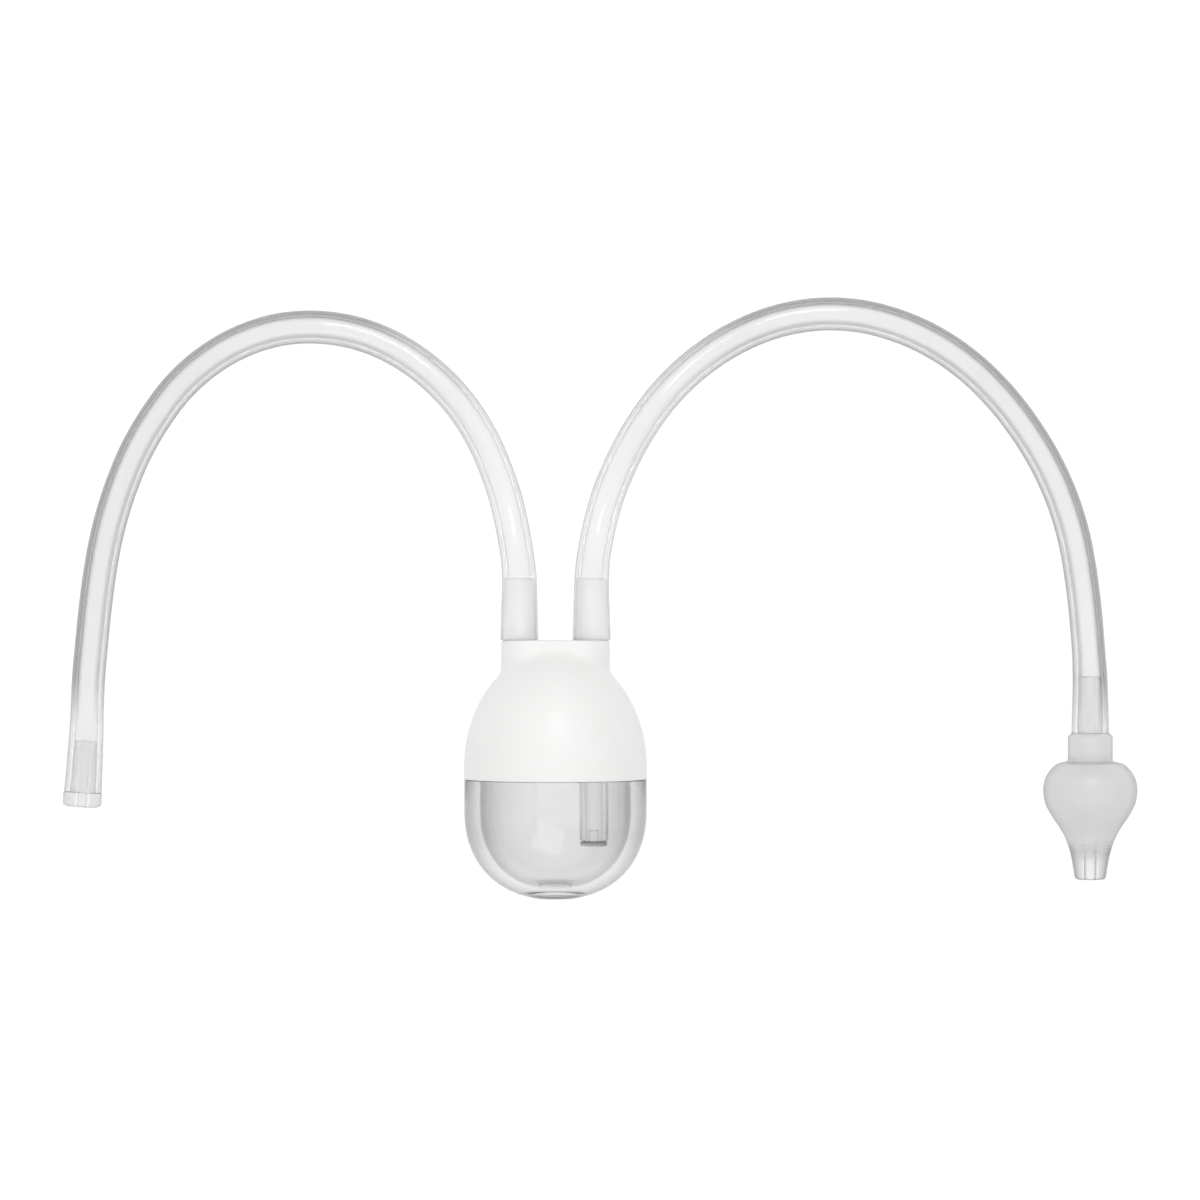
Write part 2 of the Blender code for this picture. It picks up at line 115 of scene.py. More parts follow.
NASAL_ROUTE_MM = [
    (7.5, 20.35, 19.0), (7.5, 26.5, 19.0), (7.5, 33.0, 19.0), (8.2, 39.5, 18.5),
    (10.3, 48.6, 16.1), (13.3, 56.4, 12.5), (17.2, 63.9, 9.0), (22.4, 71.3, 6.3),
    (28.9, 77.8, 4.6), (36.7, 83.2, 3.8), (45.4, 87.0, 3.6), (54.6, 88.8, 3.6),
    (63.8, 88.5, 3.6), (72.6, 86.2, 3.6), (80.6, 82.4, 3.6), (87.7, 77.3, 3.6),
    (93.8, 71.2, 3.7), (99.0, 64.4, 3.9), (103.3, 57.2, 4.3), (106.6, 49.6, 5.0),
    (108.9, 41.6, 6.1), (110.3, 33.0, 7.4), (111.2, 24.0, 8.7), (111.8, 14.0, 9.7),
    (111.9, 7.0, 9.9), (111.9, 0.85, 9.9),
]


# ---- Sizes and colours that a user would change ---------------------------------------------------
def length(name, description, default):
    return FloatProperty(name=name, description=description, default=default, unit='LENGTH')


def hex_colour(name, description, default):
    return StringProperty(name=name, description=description, default=default)


class CapSizes(bpy.types.PropertyGroup):
    wall: length("Wall", "Thickness of the cap's wall", 1.6 * MM)
    dome_start: length("Dome start", "Height above the rim where the dome begins", 2.4 * MM)
    dome_rise: length("Dome rise", "Half the height of the dome's ellipse", 24.4 * MM)
    seal_room: length("Seal room", "Height left over the cup's neck for the seal ring", 2.1 * MM)
    ceiling: length("Ceiling", "Height of the ceiling inside the cap", 21.0 * MM)
    neck_top: length("Neck top", "Height of the flat between the spigots", NECK_TOP)
    neck_half_width: length("Neck half width", "Half the neck's size across the spigots", 11.3 * MM)
    neck_half_depth: length("Neck half depth", "Radius of the neck's round ends", 5.6 * MM)
    neck_fillet: length("Neck fillet", "Radius where the dome meets the neck's ends", 1.0 * MM)
    front_fillet: length("Front fillet", "Radius where the dome meets the neck's flat faces", 5.0 * MM)
    socket_low: length("Socket low", "Height where the dip tube's socket begins", 15.0 * MM)
    socket_radius: length("Socket radius", "Radius of that socket at its open end", 4.5 * MM)
    socket_top_radius: length("Socket top radius", "Its radius under the dome", 3.3 * MM)
    spigot_spacing: length("Spigot spacing", "From the axis to each spigot", 7.5 * MM)
    spigot_tip: length("Spigot tip", "Radius of a spigot at its tip", 2.57 * MM)
    spigot_root: length("Spigot root", "Radius of a spigot at the neck", 2.91 * MM)
    spigot_bore: length("Spigot bore", "Radius of the bore through a spigot", 1.6 * MM)


class CupSizes(bpy.types.PropertyGroup):
    round_start: length("Round start", "Depth where the side begins to turn in", 6.6 * MM)
    round_drop: length("Round drop", "Height of the rounded end's outline", 18.5 * MM)
    round_power: FloatProperty(name="Round power", description="Fullness of the rounded end", default=2.2)
    neck_radius: length("Neck radius", "Outside radius of the neck inside the cap", 17.05 * MM)
    bore_radius: length("Bore radius", "Inside radius at the neck", 15.9 * MM)
    inner_radius: length("Inner radius", "Inside radius where the cavity turns in", 15.7 * MM)
    inner_drop: length("Inner drop", "Height of the cavity's rounded outline", 15.9 * MM)
    inner_depth: length("Inner depth", "Depth of the cavity's flat floor", 21.8 * MM)
    base_recess: length("Base recess", "Depth of the dimple round the moulding gate", 0.35 * MM)


class HoseSizes(bpy.types.PropertyGroup):
    radius: length("Radius", "Outside radius of the free hose", 3.5 * MM)
    wall: length("Wall", "Thickness of the silicone", 1.2 * MM)
    cut_edge: length("Cut edge", "Bevel on the hose's cut ends", 0.12 * MM)
    end_radius: length("End radius", "Outside radius stretched over an insert's root", 3.95 * MM)
    tip_radius: length("Tip radius", "Outside radius over an insert's tip", 3.62 * MM)
    grip_length: length("Grip length", "Length stretched over an insert", 12.4 * MM)
    relax_length: length("Relax length", "Length past the insert over which it narrows again", 5.0 * MM)
    sides: IntProperty(name="Sides", description="Facets round the hose", default=40)


class InnerSizes(bpy.types.PropertyGroup):
    seal_clearance: length("Seal clearance", "Gap between the cup's neck and the seal ring", 0.15 * MM)
    seal_height: length("Seal height", "Height of the seal ring", 1.7 * MM)
    seal_inner: length("Seal inner radius", "Inside radius of the seal ring", 15.7 * MM)
    seal_outer: length("Seal outer radius", "Outside radius of the seal ring", 17.1 * MM)
    dip_tube_bore: length("Dip tube bore", "Inside radius of the dip tube", 1.95 * MM)
    hinge_half_width: length("Hinge half width", "Half the width of the flap's lug and tongue", 1.5 * MM)
    hinge_reach: length("Hinge reach", "How far lug and tongue reach from the tube's axis", 4.3 * MM)
    lug_length: length("Lug length", "Length of the lug along the dip tube", 2.6 * MM)
    flap_radius: length("Flap radius", "Radius of the flap's disc", 2.85 * MM)
    flap_thickness: length("Flap thickness", "Thickness of the flap", 0.8 * MM)
    flap_gap: length("Flap gap", "Gap between the dip tube's end and the flap", 0.25 * MM)


class TipSizes(bpy.types.PropertyGroup):
    cuff_radius: length("Cuff radius", "Radius of the cuff that grips the connector", 4.68 * MM)
    end_bore: length("End bore", "Radius of the bore out of the nose tip", 1.3 * MM)
    insert_bore: length("Insert bore", "Radius of the bore in the mouthpiece and connector", 1.05 * MM)
    insert_tip: length("Insert tip", "Radius of an insert at its tip", 2.3 * MM)
    insert_root: length("Insert root", "Radius of an insert at its root", 2.65 * MM)
    insert_length: length("Insert length", "Length of the mouthpiece inside the hose", 10.8 * MM)
    flange_radius: length("Flange radius", "Radius of the mouthpiece's flange", 4.1 * MM)
    flange_length: length("Flange length", "Length of the mouthpiece's flange", 3.1 * MM)


class Colours(bpy.types.PropertyGroup):
    white: hex_colour("White", "Moulded white polypropylene", "#E7E7E6")
    white_shade: hex_colour("White shade", "Its slightly darker flow marks", "#E4E4E3")
    # Painted light: the spigots are painted whiter than the cap, in place of the light that the hose over
    # them takes away.
    spigot: hex_colour("Spigot", "The same plastic where silicone grips it", "#FFFFFF")
    clear: hex_colour("Clear", "Clear moulded polypropylene", "#FEFEFE")
    # Each colour below that is named for an edge, a rim or a bend is painted shade, laid on where a surface
    # is seen edge on.
    clear_edge: hex_colour("Clear edge", "The same plastic seen edge on", "#A0A0A0")
    clear_rim: hex_colour("Clear rim", "The same plastic along its outline", "#484848")
    natural: hex_colour("Natural", "Uncoloured polypropylene", "#FEFEFE")
    natural_edge: hex_colour("Natural edge", "The same plastic seen edge on", "#CCCCCC")
    silicone: hex_colour("Silicone", "Extruded clear silicone", "#FFFFFF")
    silicone_edge: hex_colour("Silicone edge", "The same silicone seen edge on", "#B4B4B4")
    # Painted shade: the darker edge on the outside of the hoses' bends and along the nose tip's clear end.
    silicone_bent: hex_colour("Bent silicone", "The edge on the outside of a bend", "#929292")
    bulb: hex_colour("Bulb", "Milky moulded silicone", "#F6F6F6")
    bulb_edge: hex_colour("Bulb edge", "The same silicone seen edge on", "#C0C0C0")
    floor: hex_colour("Floor", "Table top under the object", "#888888")


class AspiratorSettings(bpy.types.PropertyGroup):
    cap: PointerProperty(type=CapSizes)
    cup: PointerProperty(type=CupSizes)
    inner: PointerProperty(type=InnerSizes)
    hose: PointerProperty(type=HoseSizes)
    tip: PointerProperty(type=TipSizes)
    colours: PointerProperty(type=Colours)


# ---- Modelling helpers ----------------------------------------------------------------------------
def select_only(*objects):
    if bpy.context.mode != 'OBJECT':
        bpy.ops.object.mode_set(mode='OBJECT')
    bpy.ops.object.select_all(action='DESELECT')
    for obj in objects:
        obj.select_set(True)
    if objects:
        bpy.context.view_layer.objects.active = objects[-1]


def place(piece, matrix):
    """Put a piece where it belongs and apply that to its mesh, so that its object is at the origin."""
    select_only(piece)
    piece.matrix_world = matrix
    bpy.ops.object.transform_apply(location=True, rotation=True, scale=True)


def smooth(piece):
    select_only(piece)
    bpy.ops.object.shade_smooth_by_angle(angle=SMOOTH_ANGLE)


def apply_modifiers(piece):
    select_only(piece)
    for modifier in list(piece.modifiers):
        bpy.ops.object.modifier_apply(modifier=modifier.name)


def combine(piece, tool, operation):
    """Join or cut a piece with a closed tool, which is then removed."""
    boolean = piece.modifiers.new("Combine", 'BOOLEAN')
    boolean.operation = operation
    boolean.object = tool
    apply_modifiers(piece)
    bpy.data.objects.remove(tool, do_unlink=True)


def rounded(corners, segments=5):
    """A polyline through (radius, height, fillet) corners, each with a fillet drawn as an arc."""
    points = []
    last = len(corners) - 1
    for i, (x, z, fillet) in enumerate(corners):
        here = Vector((x, z))
        if i in (0, last) or fillet == 0.0:
            points.append(here)
            continue
        back = Vector(corners[i - 1][:2]) - here
        ahead = Vector(corners[i + 1][:2]) - here
        half_turn = (math.pi - back.angle(ahead)) / 2
        cut = min(fillet * math.tan(half_turn), 0.48 * back.length, 0.48 * ahead.length)
        radius = cut / math.tan(half_turn)
        middle = back.normalized() + ahead.normalized()
        centre = here + middle.normalized() * (radius / math.cos(half_turn))
        start = here + back.normalized() * cut - centre
        end = here + ahead.normalized() * cut - centre
        for step in range(segments + 1):
            share = step / segments
            spread = math.sin(2 * half_turn)
            first = math.sin(2 * half_turn * (1 - share)) / spread
            second = math.sin(2 * half_turn * share) / spread
            points.append(centre + start * first + end * second)
    return [(point.x, point.y) for point in points]


def round_end(radius, power, start, drop, end, count):
    """(radius, depth) points of a superellipse between two depths, closest where it bends most."""
    points = []
    reach = math.acos(max(-1.0, 1.0 - (end - start) / drop))
    for i in range(count + 1):
        along = drop * math.sin(reach * i / count / 2) ** 2 * 2
        share = min(along / drop, 1.0)
        points.append((radius * (1.0 - share ** power) ** (1.0 / power), start + along))
    return points


def close_ends(ring=False):
    """Fill the open ends of the mesh that is being edited, or bridge them, and leave edit mode."""
    bpy.ops.mesh.select_all(action='DESELECT')
    bpy.ops.mesh.select_non_manifold()
    if ring:
        bpy.ops.mesh.bridge_edge_loops()
    else:
        bpy.ops.mesh.fill_holes(sides=0)
    bpy.ops.mesh.select_all(action='SELECT')
    bpy.ops.mesh.normals_make_consistent(inside=False)
    bpy.ops.object.mode_set(mode='OBJECT')


def plug(low_radius, low, high_radius, high):
    """The (radius, height) outline of a straight or tapered plug."""
    return [(CORE, low), (low_radius, low), (high_radius, high), (CORE, high)]


def turned(name, outline, sides=96, ring=False):
    """A turned solid: a circle is extruded up the outline, and each new circle is scaled to size.

    The outline is (radius, height) points. Its two ends are closed flat, or bridged for a ring.
    """
    select_only()
    radius, height = outline[0]
    bpy.ops.mesh.primitive_circle_add(vertices=sides, radius=radius, location=(0.0, 0.0, height))
    piece = bpy.context.object
    piece.name = name
    piece.data.name = name
    bpy.ops.object.transform_apply(location=True, rotation=False, scale=False)
    bpy.ops.object.mode_set(mode='EDIT')
    bpy.ops.mesh.select_all(action='SELECT')
    for next_radius, next_height in outline[1:]:
        bpy.ops.mesh.extrude_region_move(
            TRANSFORM_OT_translate={"value": (0.0, 0.0, next_height - height)})
        scale = next_radius / radius
        bpy.ops.transform.resize(value=(scale, scale, 1.0), center_override=(0.0, 0.0, next_height))
        radius, height = next_radius, next_height
    close_ends(ring)
    return piece


def rounded_box(name, low, high, bevel):
    select_only()
    low, high = Vector(low), Vector(high)
    bpy.ops.mesh.primitive_cube_add(size=1.0, location=(low + high) / 2)
    piece = bpy.context.object
    piece.name = name
    piece.scale = high - low
    bpy.ops.object.transform_apply(location=True, rotation=True, scale=True)
    bpy.ops.object.mode_set(mode='EDIT')
    bpy.ops.mesh.select_all(action='SELECT')
    bpy.ops.mesh.bevel(offset=bevel, segments=3, affect='EDGES')
    bpy.ops.object.mode_set(mode='OBJECT')
    return piece


def flow_curve(points, per_span=12):
    """Points on a Catmull-Rom curve through the given points."""
    ends = [points[0] * 2 - points[1], *points, points[-1] * 2 - points[-2]]
    line = []
    for before, start, end, after in zip(ends, ends[1:], ends[2:], ends[3:]):
        for step in range(per_span):
            t = step / per_span
            line.append(0.5 * (2 * start + (end - before) * t
                               + (2 * before - 5 * start + 4 * end - after) * t * t
                               + (3 * start - before - 3 * end + after) * t * t * t))
    line.append(points[-1])
    return line


def finish_piece(piece, body, node, finish):
    """Shade, paint and hang a finished piece on the frame in place of its CAD node.

    The finish is the function that makes the material. It is made once, under the function's name.
    """
    smooth(piece)
    material = bpy.data.materials.get(finish.__name__) or finish(bpy.context.scene.aspirator.colours)
    piece.data.materials.clear()
    piece.data.materials.append(material)
    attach(piece, body)
    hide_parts(node)


# ---- Material helpers -----------------------------------------------------------------------------
def linear(hex_value):
    """An sRGB hex colour as linear RGBA."""
    channels = [int(hex_value[i:i + 2], 16) / 255 for i in (1, 3, 5)]
    return (*(c / 12.92 if c <= 0.04045 else ((c + 0.055) / 1.055) ** 2.4 for c in channels), 1.0)


def add(owner, kind, settings=None, links=None):
    """Add a node to a material or world. Settings set its options or sockets, links feed its sockets."""
    node = owner.node_tree.nodes.new(kind)
    for key, value in (settings or {}).items():
        if isinstance(key, str) and hasattr(node, key):
            setattr(node, key, value)
        else:
            node.inputs[key].default_value = value
    for key, output in (links or {}).items():
        owner.node_tree.links.new(output, node.inputs[key])
    return node


def new_material(name, values):
    """A material, its Principled shader with some sockets set, and the object coordinates."""
    material = bpy.data.materials.new(name)
    material.use_nodes = True
    shader = material.node_tree.nodes["Principled BSDF"]
    for socket, value in values.items():
        shader.inputs[socket].default_value = value
    coordinates = add(material, 'ShaderNodeTexCoord').outputs["Object"]
    return material, shader, coordinates


def wire(material, output, shader, socket):
    material.node_tree.links.new(output, shader.inputs[socket])


def greyed_edges(material, middle, edge, start, end, fade=None):
    """A tint with painted shade: the plastic greys where it is seen edge on."""
    slant = add(material, 'ShaderNodeLayerWeight', {"Blend": 0.5}).outputs["Facing"]
    share = add(material, 'ShaderNodeMapRange',
                {"interpolation_type": 'SMOOTHSTEP', "From Min": start, "From Max": end},
                {"Value": slant}).outputs["Result"]
    if fade:
        faded = add(material, 'ShaderNodeMath', {"operation": 'MULTIPLY'}, {0: share, 1: fade})
        share = faded.outputs["Value"]
    tint = add(material, 'ShaderNodeMix', {"data_type": 'RGBA', 6: linear(middle), 7: linear(edge)},
               {0: share})
    return tint.outputs[2]


def darker_rim(material, tint, rim, start):
    """A tint with a painted dark outline: it turns to the rim's colour where the surface is seen almost edge
    on.
    """
    slant = add(material, 'ShaderNodeLayerWeight', {"Blend": 0.5}).outputs["Facing"]
    share = add(material, 'ShaderNodeMapRange', {"interpolation_type": 'SMOOTHSTEP', "From Min": start},
                {"Value": slant}).outputs["Result"]
    darkened = add(material, 'ShaderNodeMix', {"data_type": 'RGBA', 7: linear(rim)}, {0: share, 6: tint})
    return darkened.outputs[2]


def grey_through(material, per_millimetre):
    """Plain absorption inside the plastic, so that a long way through it looks greyer."""
    half_grey = (0.5, 0.5, 0.5, 1.0)
    smoke = add(material, 'ShaderNodeVolumeAbsorption',
                {"Color": half_grey, "Density": 2 * per_millimetre / MM})
    output = material.node_tree.nodes["Material Output"]
    material.node_tree.links.new(smoke.outputs["Volume"], output.inputs["Volume"])


def bend_outside(material, coordinates):
    """Where the hoses' painted edge shade is darker: 1 where a hose faces away from its bend's middle, 0
    where it faces it or runs straight.
    """
    side = add(material, 'ShaderNodeVectorMath', {"operation": 'SIGN'}, {0: coordinates})
    middle = add(material, 'ShaderNodeVectorMath',
                 {"operation": 'MULTIPLY_ADD', 1: (BEND_MIDDLE_X, 0.0, 0.0), 2: (0.0, BEND_MIDDLE_Y, 0.0)},
                 {0: side.outputs["Vector"]})
    outward = add(material, 'ShaderNodeVectorMath', {"operation": 'SUBTRACT'},
                  {0: coordinates, 1: middle.outputs["Vector"]})
    direction = add(material, 'ShaderNodeVectorMath', {"operation": 'NORMALIZE'},
                    {0: outward.outputs["Vector"]})
    facing = add(material, 'ShaderNodeNewGeometry').outputs["Normal"]
    agreement = add(material, 'ShaderNodeVectorMath', {"operation": 'DOT_PRODUCT'},
                    {0: direction.outputs["Vector"], 1: facing})
    outside = add(material, 'ShaderNodeMapRange', {"From Min": -0.3, "From Max": 0.3},
                  {"Value": agreement.outputs["Value"]})
    place_on_hose = add(material, 'ShaderNodeSeparateXYZ', links={0: coordinates})
    distance = add(material, 'ShaderNodeMath', {"operation": 'ABSOLUTE'}, {0: place_on_hose.outputs["X"]})
    past_spigots = add(material, 'ShaderNodeMapRange', {"From Min": 12 * MM, "From Max": 40 * MM},
                       {"Value": distance.outputs["Value"]})
    past_free_end = add(material, 'ShaderNodeMapRange', {"From Min": 1 * MM, "From Max": 12 * MM},
                        {"Value": place_on_hose.outputs["Y"]})
    bent = add(material, 'ShaderNodeMath', {"operation": 'MULTIPLY'},
               {0: past_free_end.outputs["Result"], 1: past_spigots.outputs["Result"]})
    share = add(material, 'ShaderNodeMath', {"operation": 'MULTIPLY'},
                {0: outside.outputs["Result"], 1: bent.outputs["Value"]})
    return share.outputs["Value"]


def uneven_roughness(material, coordinates, patch, low, high):
    """Roughness that wanders between two values over patches of the given size."""
    haze = add(material, 'ShaderNodeTexNoise', {"Scale": 1 / patch, "Detail": 2.0}, {"Vector": coordinates})
    gloss = add(material, 'ShaderNodeMapRange', {"To Min": low, "To Max": high},
                {"Value": haze.outputs["Fac"]})
    return gloss.outputs["Result"]


def relief(material, coordinates, grain, depth, strength):
    """Fine relief of the given grain, as a mould leaves it."""
    noise = add(material, 'ShaderNodeTexNoise', {"Scale": 1 / grain, "Detail": 2.0},
                {"Vector": coordinates})
    bump = add(material, 'ShaderNodeBump', {"Strength": strength, "Distance": depth},
               {"Height": noise.outputs["Fac"]})
    return bump.outputs["Normal"]


def moulded_white_polypropylene(colours):
    """Injection-moulded white polypropylene: a satin skin over a little scattered light.

    Faint flow marks wander through it, and the spigots carry painted light: they are painted whiter than the
    cap, in place of the light that the hose over them takes away.
    """
    material, shader, coordinates = new_material("moulded_white_polypropylene", {
        "IOR": 1.49, "Subsurface Weight": 0.1, "Subsurface Radius": (1.0, 1.0, 1.0),
        "Subsurface Scale": 1.2 * MM})
    flow = add(material, 'ShaderNodeTexNoise', {"Scale": 1 / (9 * MM), "Detail": 3.0},
               {"Vector": coordinates})
    tone = add(material, 'ShaderNodeMix',
               {"data_type": 'RGBA', 6: linear(colours.white), 7: linear(colours.white_shade)},
               {0: flow.outputs["Fac"]})
    # Painted light: above the neck's top the spigots are painted whiter, in place of the light lost through
    # the hose over them.
    along = add(material, 'ShaderNodeSeparateXYZ', links={0: coordinates}).outputs["Y"]
    spigot_root = PARTING_Y + NECK_TOP
    painted_light_share = add(material, 'ShaderNodeMapRange',
                  {"From Min": spigot_root, "From Max": spigot_root + 0.3 * MM}, {"Value": along})
    spigot_painted_light = add(material, 'ShaderNodeMix', {"data_type": 'RGBA', 7: linear(colours.spigot)},
                 {0: painted_light_share.outputs["Result"], 6: tone.outputs[2]})
    wire(material, spigot_painted_light.outputs[2], shader, "Base Color")
    wire(material, uneven_roughness(material, coordinates, 9 * MM, 0.38, 0.48), shader, "Roughness")
    wire(material, relief(material, coordinates, 0.35 * MM, 0.02 * MM, 0.12), shader, "Normal")
    return material


def polished_clear_polypropylene(colours):
    """Clear polypropylene from a polished mould: it bends what is behind it, and painted shade greys it
    where it is seen edge on.

    The painted shade is weaker on the rounded end, and the painted outline is darkest.
    """
    material, shader, coordinates = new_material("polished_clear_polypropylene", {
        "IOR": 1.49, "Transmission Weight": 1.0})
    # Painted shade: grey where the cup is seen edge on, weaker towards its rounded end, and a painted dark
    # outline.
    along = add(material, 'ShaderNodeSeparateXYZ', links={0: coordinates}).outputs["Y"]
    fade = add(material, 'ShaderNodeMapRange', {"From Min": -28 * MM, "From Max": -20 * MM, "To Min": 0.25},
               {"Value": along}).outputs["Result"]
    tint = greyed_edges(material, colours.clear, colours.clear_edge, 0.0, 0.78, fade)
    wire(material, darker_rim(material, tint, colours.clear_rim, 0.42), shader, "Base Color")
    grey_through(material, 0.022)
    wire(material, uneven_roughness(material, coordinates, 6 * MM, 0.03, 0.08), shader, "Roughness")
    return material


def moulded_natural_polypropylene(colours):
    """Uncoloured polypropylene: half clear, greyish, with a dull moulded skin and painted shade where it is
    seen edge on.
    """
    material, shader, coordinates = new_material("moulded_natural_polypropylene", {
        "IOR": 1.49, "Transmission Weight": 1.0})
    # Painted shade where the surface is seen edge on.
    tint = greyed_edges(material, colours.natural, colours.natural_edge, 0.1, 0.7)
    wire(material, tint, shader, "Base Color")
    grey_through(material, 0.02)
    wire(material, uneven_roughness(material, coordinates, 2 * MM, 0.08, 0.16), shader, "Roughness")
    return material


def extruded_clear_silicone(colours):
    """Extruded silicone hose: clear, faintly milky, with painted shade on its edges that is darkest outside
    the bends.

    Its index is below silicone's own 1.41, so that the white spigots stay bright inside it.
    """
    material, shader, coordinates = new_material("extruded_clear_silicone", {
        "IOR": 1.25, "Transmission Weight": 0.78})
    # Painted shade on the edges: wider and darker on the outside of the bends.
    outside = bend_outside(material, coordinates)
    early = greyed_edges(material, colours.silicone, colours.silicone_bent, 0.06, 0.38)
    late = greyed_edges(material, colours.silicone, colours.silicone_edge, 0.35, 0.75)
    tint = add(material, 'ShaderNodeMix', {"data_type": 'RGBA'}, {0: outside, 6: late, 7: early})
    wire(material, tint.outputs[2], shader, "Base Color")
    grey_through(material, 0.008)
    wire(material, uneven_roughness(material, coordinates, 4 * MM, 0.06, 0.12), shader, "Roughness")
    return material


def moulded_milky_silicone(colours):
    """Moulded silicone: milky and matt from a blasted mould, like a soft teat, with painted shade at its
    edges.
    """
    material, shader, coordinates = new_material("moulded_milky_silicone", {
        "IOR": 1.41, "Transmission Weight": 0.55})
    # Painted shade where the surface is seen edge on.
    tint = greyed_edges(material, colours.bulb, colours.bulb_edge, 0.45, 0.95)
    wire(material, tint, shader, "Base Color")
    wire(material, uneven_roughness(material, coordinates, 3 * MM, 0.3, 0.4), shader, "Roughness")
    return material


def two_finish_moulded_silicone(colours):
    """The nose tip's silicone: milky and matt on the bulb, polished and clear along the narrow end, with
    painted shade at its edges.
    """
    material, shader, coordinates = new_material("two_finish_moulded_silicone", {"IOR": 1.41})
    along = add(material, 'ShaderNodeSeparateXYZ', links={0: coordinates}).outputs["Y"]
    clearness = add(material, 'ShaderNodeMapRange',
                    {"interpolation_type": 'SMOOTHSTEP', "From Min": -20.6 * MM, "From Max": -26.6 * MM},
                    {"Value": along}).outputs["Result"]
    # Painted shade where the bulb and the clear end are seen edge on.
    milky = greyed_edges(material, colours.bulb, colours.bulb_edge, 0.45, 0.95)
    clear = greyed_edges(material, colours.silicone, colours.silicone_bent, 0.05, 0.6)
    tint = add(material, 'ShaderNodeMix', {"data_type": 'RGBA'}, {0: clearness, 6: milky, 7: clear})
    wire(material, tint.outputs[2], shader, "Base Color")
    through = add(material, 'ShaderNodeMapRange', {"To Min": 0.42, "To Max": 1.0}, {"Value": clearness})
    wire(material, through.outputs["Result"], shader, "Transmission Weight")
    matt = uneven_roughness(material, coordinates, 3 * MM, 0.3, 0.38)
    polished = 0.08
    gloss = add(material, 'ShaderNodeMix', {3: polished}, {0: clearness, 2: matt})
    wire(material, gloss.outputs[0], shader, "Roughness")
    grey_through(material, 0.04)
    return material


# ---- Stage ----------------------------------------------------------------------------------------
class STAGE_OT_aspirator(bpy.types.Operator):
    """Set up the table, the soft lights and the camera that looks straight down"""
    bl_idname = "scene.aspirator_stage"
    bl_label = "Stage"

    def execute(self, context):
        camera_height = 1.0
        view_width = 249.0 * MM
        bpy.ops.object.camera_add(location=(9.23 * MM, 28.63 * MM, camera_height))
        camera = context.object
        camera.name = "overhead_camera"
        camera.data.sensor_width = 36.0
        camera.data.lens = camera.data.sensor_width * (camera_height - AXIS_HEIGHT) / view_width
        camera.data.clip_start = 0.01
        context.scene.camera = camera

        select_only()
        bpy.ops.mesh.primitive_plane_add(size=6.0)
        table = context.object
        table.name = "table_top"
        # Opal acrylic lit from below: matt and bright, so that nothing casts a clear shadow on it.
        white_light = (1.0, 1.0, 1.0, 1.0)
        opal = new_material("lit_opal_acrylic", {
            "Base Color": linear(context.scene.aspirator.colours.floor), "Roughness": 0.8,
            "Specular IOR Level": 0.2, "Emission Color": white_light, "Emission Strength": 0.84})[0]
        table.data.materials.append(opal)

        world = bpy.data.worlds.new("soft_studio")
        world.use_nodes = True
        direction = add(world, 'ShaderNodeTexCoord').outputs["Generated"]
        parts = add(world, 'ShaderNodeSeparateXYZ', links={0: direction})
        brightness = add(world, 'ShaderNodeMapRange', {"To Min": 0.5, "To Max": 1.04},
                         {"Value": parts.outputs["Z"]})
        background = world.node_tree.nodes["Background"]
        background.inputs["Color"].default_value = white_light
        world.node_tree.links.new(brightness.outputs["Result"], background.inputs["Strength"])
        context.scene.world = world
        for name, spot, size, power in (
                ("key_soft_box", (0.05, 0.72, 1.15), 0.25, 4.2),
                ("fill_soft_box", (-0.2, -0.7, 1.2), 0.9, 2.4)):
            bpy.ops.object.light_add(type='AREA', location=spot)
            light = context.object
            light.name = name
            light.data.size = size
            light.data.energy = power
            light.rotation_euler = (-Vector(spot)).to_track_quat('-Z', 'Y').to_euler()
        context.scene.view_settings.view_transform = 'Standard'
        return {'FINISHED'}


